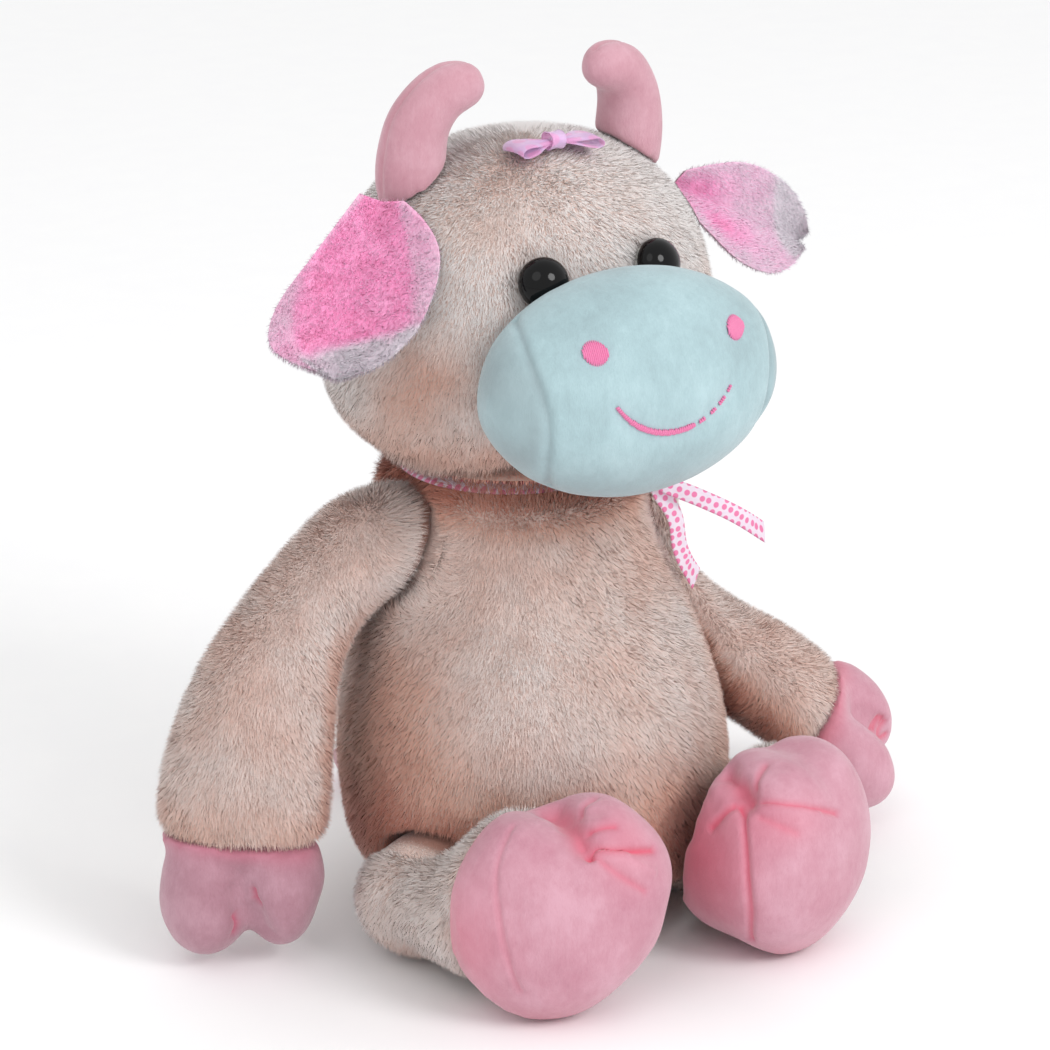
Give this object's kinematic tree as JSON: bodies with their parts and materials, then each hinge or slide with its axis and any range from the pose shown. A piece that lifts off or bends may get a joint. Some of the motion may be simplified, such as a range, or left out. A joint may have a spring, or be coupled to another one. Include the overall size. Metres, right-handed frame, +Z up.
{
  "type": "plush toy cow",
  "caption": "Seated stuffed toy cow with a round head, broad pale muzzle, curved horns, floppy ears, soft arms and cleft pink hooves; head, limbs, ears and tail move.",
  "frame": {"origin": "on the floor under the middle of the seat", "axes": "+Z up, the face looks along -Y, the cow's left side at +X"},
  "size_m": [0.3176, 0.2532, 0.3198],
  "materials": {
    "fur": "short plush pile",
    "velour": "smooth velour",
    "muzzle_cloth": "smooth short velour",
    "ear_lining": "short pink plush",
    "ear_cloth": "pale velour",
    "eye_plastic": "glossy",
    "washer_plastic": "moulded",
    "thread": "satin stitch",
    "ribbon": "satin ribbon with small dots",
    "organza": "thin translucent ribbon",
    "fibre": "loose polyester fibre",
    "bag_cloth": "woven lining cloth"
  },
  "bodies": {
    "torso": {"torso_cover": "fur", "torso_filling": "fibre", "pellet_bag": "bag_cloth", "neck_ribbon": "ribbon", "neck_ribbon_knot": "ribbon", "neck_ribbon_end_front": "ribbon", "neck_ribbon_end_side": "ribbon"},
    "neck": {"neck_filling": "fibre"},
    "head": {"head_cover": "fur", "head_filling": "fibre", "muzzle_cover": "muzzle_cloth", "muzzle_filling": "fibre", "mouth": "thread", "nostril_right": "thread", "nostril_left": "thread", "eye_right": "eye_plastic", "eye_left": "eye_plastic", "eye_washer_right": "washer_plastic", "eye_washer_left": "washer_plastic", "horn_right": "velour", "horn_left": "velour", "head_bow_loops": "organza", "head_bow_knot": "organza"},
    "arm_right": {"arm_cover_right": "fur", "hand_hoof_right": "velour", "arm_filling_right": "fibre"},
    "leg_right": {"leg_cover_right": "fur", "foot_hoof_right": "velour", "leg_filling_right": "fibre"},
    "ear_right": {"ear_lining_right": "ear_lining", "ear_back_right": "ear_cloth"},
    "arm_left": {"arm_cover_left": "fur", "hand_hoof_left": "velour", "arm_filling_left": "fibre"},
    "leg_left": {"leg_cover_left": "fur", "foot_hoof_left": "velour", "leg_filling_left": "fibre"},
    "ear_left": {"ear_lining_left": "ear_lining", "ear_back_left": "ear_cloth"},
    "tail": {"tail": "fur", "tail_tuft": "velour"}
  },
  "joints": [
    {"name": "head_turn", "type": "hinge", "parent": "torso", "child": "neck", "pos_m": [0, 0.017, 0.142], "axis": [0, 0, 1], "range_deg": [-20, 20], "stiffness_Nm_per_rad": 1},
    {"name": "head_nod", "type": "hinge", "parent": "neck", "child": "head", "pos_m": [0, 0.017, 0.142], "axis": [1, 0, 0], "range_deg": [-8, 8], "stiffness_Nm_per_rad": 4},
    {"name": "arm_swing_right", "type": "hinge", "parent": "torso", "child": "arm_right", "pos_m": [-0.044, 0.018, 0.143], "axis": [-0.9397, 0, 0.342], "range_deg": [-30, 70], "stiffness_Nm_per_rad": 1.5},
    {"name": "arm_swing_left", "type": "hinge", "parent": "torso", "child": "arm_left", "pos_m": [0.044, 0.018, 0.143], "axis": [-0.9397, 0, -0.342], "range_deg": [-30, 70], "stiffness_Nm_per_rad": 1.5},
    {"name": "leg_lift_right", "type": "hinge", "parent": "torso", "child": "leg_right", "pos_m": [-0.05, -0.024, 0.024], "axis": [-1, 0, 0], "range_deg": [-12, 20], "stiffness_Nm_per_rad": 1.5},
    {"name": "leg_lift_left", "type": "hinge", "parent": "torso", "child": "leg_left", "pos_m": [0.05, -0.024, 0.024], "axis": [-1, 0, 0], "range_deg": [-12, 20], "stiffness_Nm_per_rad": 1.5},
    {"name": "ear_flop_right", "type": "hinge", "parent": "head", "child": "ear_right", "pos_m": [-0.0605, 0.005, 0.273], "axis": [-0.7317, 0.6675, 0.1381], "range_deg": [-4, 30], "stiffness_Nm_per_rad": 0.12},
    {"name": "ear_flop_left", "type": "hinge", "parent": "head", "child": "ear_left", "pos_m": [0.0605, 0.005, 0.26196], "axis": [-0.4579, -0.2677, -0.8478], "range_deg": [-18, 18], "stiffness_Nm_per_rad": 0.12},
    {"name": "tail_wag", "type": "hinge", "parent": "torso", "child": "tail", "pos_m": [0, 0.069, 0.048], "axis": [0, 0, 1], "range_deg": [-25, 25], "stiffness_Nm_per_rad": 0.1}
  ]
}
